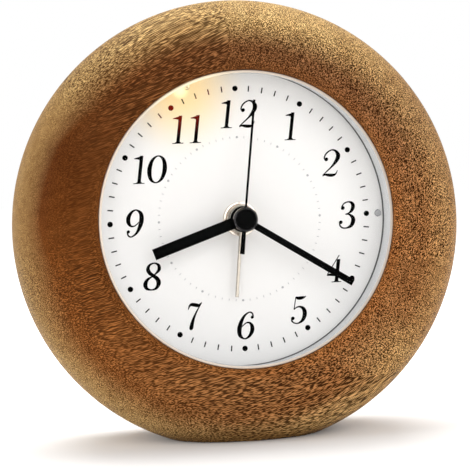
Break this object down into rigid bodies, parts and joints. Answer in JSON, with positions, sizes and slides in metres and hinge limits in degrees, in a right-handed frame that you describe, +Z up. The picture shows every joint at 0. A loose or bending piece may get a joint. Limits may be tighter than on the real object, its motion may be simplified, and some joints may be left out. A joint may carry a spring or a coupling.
{
  "type": "wooden desk alarm clock",
  "caption": "Round wooden desk alarm clock with a white numeral dial, black hands, a domed turned case on a small flat and a quartz movement with back controls.",
  "frame": {"origin": "on the table, under the middle of the case", "axes": "+Z up, front of the dial faces -Y, +X to the right as seen from the front"},
  "size_m": [0.12, 0.0406, 0.1164],
  "materials": {
    "wood": "oiled, satin",
    "cup": "light grey, satin",
    "lens": "clear",
    "dial": "matt white print",
    "black_metal": "matt black",
    "alarm_metal": "pale champagne",
    "brass": "turned",
    "lamp": "warm diffused lamp",
    "sensor": "grey window",
    "board": "green circuit board",
    "gear": "natural acetal",
    "magnet": "bonded magnet",
    "movement": "moulded black",
    "steel": "plated",
    "spool": "moulded",
    "copper": "enamelled copper wire",
    "crystal": "metal can",
    "chip": "resin",
    "cell": "plain grey sleeve",
    "cover": "fine grain moulding",
    "knob": "moulded",
    "buzzer": "moulded"
  },
  "bodies": {
    "case": {"wooden_case": "wood", "bezel_cup": "cup", "lens": "lens", "dial": "dial", "lamp_led": "lamp", "light_sensor": "sensor", "lamp_board": "board", "sensor_board": "board", "centre_bushing": "brass", "bushing_nut": "brass", "movement_case": "movement", "middle_plate": "movement", "movement_back": "movement", "movement_screws": "steel", "stator": "steel", "coil_spool": "spool", "coil_winding": "copper", "circuit_board": "board", "quartz_crystal": "crystal", "clock_chip": "chip", "positive_contact": "steel", "negative_contact": "steel", "rear_cover": "cover", "cover_screws": "steel", "buzzer": "buzzer", "switch_body": "knob", "light_switch": "knob", "light_board": "board"},
    "second_arbor": {"second_wheel": "gear", "second_hand": "black_metal", "hand_cap": "black_metal"},
    "third_arbor": {"third_wheel": "gear"},
    "minute_drive": {"minute_wheel": "gear"},
    "intermediate_arbor": {"intermediate_wheel": "gear"},
    "rotor_arbor": {"rotor": "magnet"},
    "minute_arbor": {"cannon_pinion": "brass", "minute_hand": "black_metal"},
    "motion_work": {"motion_wheel": "gear"},
    "hour_arbor": {"hour_wheel": "gear", "hour_hand": "black_metal"},
    "time_setter": {"time_knob": "knob"},
    "alarm_arbor": {"alarm_wheel": "gear", "alarm_hand": "alarm_metal"},
    "alarm_setter": {"alarm_knob": "knob"},
    "door": {"battery_door": "cover"},
    "cell": {"battery": "cell"},
    "alarm_switch": {"alarm_slider": "knob"},
    "light_key": {"light_button": "knob"}
  },
  "joints": [
    {"name": "second_turn", "type": "hinge", "parent": "case", "child": "second_arbor", "pos_m": [0, 0, 0.0581], "axis": [0, 1, 0], "continuous": true},
    {"name": "third_wheel_turn", "type": "hinge", "parent": "case", "child": "third_arbor", "pos_m": [0.01083, 0, 0.06204], "axis": [0, 1, 0], "continuous": true},
    {"name": "minute_wheel_turn", "type": "hinge", "parent": "case", "child": "minute_drive", "pos_m": [0, 0, 0.0581], "axis": [0, 1, 0], "continuous": true},
    {"name": "intermediate_turn", "type": "hinge", "parent": "case", "child": "intermediate_arbor", "pos_m": [-0.00084, 0, 0.06766], "axis": [0, 1, 0], "continuous": true},
    {"name": "rotor_turn", "type": "hinge", "parent": "case", "child": "rotor_arbor", "pos_m": [0.00284, 0, 0.07403], "axis": [0, 1, 0], "continuous": true},
    {"name": "minute_turn", "type": "hinge", "parent": "case", "child": "minute_arbor", "pos_m": [0, 0, 0.0581], "axis": [0, 1, 0], "continuous": true},
    {"name": "motion_wheel_turn", "type": "hinge", "parent": "case", "child": "motion_work", "pos_m": [-0.00873, 0, 0.06314], "axis": [0, 1, 0], "continuous": true},
    {"name": "hour_turn", "type": "hinge", "parent": "case", "child": "hour_arbor", "pos_m": [0, 0, 0.0581], "axis": [0, 1, 0], "continuous": true},
    {"name": "time_knob_turn", "type": "hinge", "parent": "case", "child": "time_setter", "pos_m": [-0.01048, 0, 0.07307], "axis": [0, 1, 0], "continuous": true},
    {"name": "alarm_turn", "type": "hinge", "parent": "case", "child": "alarm_arbor", "pos_m": [0, 0, 0.0581], "axis": [0, 1, 0], "continuous": true},
    {"name": "alarm_knob_turn", "type": "hinge", "parent": "case", "child": "alarm_setter", "pos_m": [-0.01218, 0, 0.05367], "axis": [0, 1, 0], "continuous": true},
    {"name": "door_lift", "type": "slide", "parent": "case", "child": "door", "axis": [0, 1, 0], "range_m": [0, 0.04]},
    {"name": "battery_lift", "type": "slide", "parent": "case", "child": "cell", "axis": [0, 1, 0], "range_m": [0, 0.02]},
    {"name": "alarm_switch_slide", "type": "slide", "parent": "case", "child": "alarm_switch", "axis": [0, 0, 1], "range_m": [0, 0.004]},
    {"name": "light_button_press", "type": "slide", "parent": "case", "child": "light_key", "axis": [0, -1, 0], "range_m": [0, 0.0012], "stiffness_N_per_m": 400}
  ],
  "couplings": [
    {"joint": "third_wheel_turn", "follows": "second_turn", "ratio": -0.13333},
    {"joint": "minute_wheel_turn", "follows": "second_turn", "ratio": 0.016667},
    {"joint": "intermediate_turn", "follows": "second_turn", "ratio": -5},
    {"joint": "rotor_turn", "follows": "second_turn", "ratio": 30},
    {"joint": "motion_wheel_turn", "follows": "minute_turn", "ratio": -0.33333},
    {"joint": "hour_turn", "follows": "minute_turn", "ratio": 0.083333},
    {"joint": "time_knob_turn", "follows": "minute_turn", "ratio": 1},
    {"joint": "alarm_knob_turn", "follows": "alarm_turn", "ratio": -2.8571},
    {"joint": "battery_lift", "follows": "door_lift", "ratio": 0.5}
  ]
}
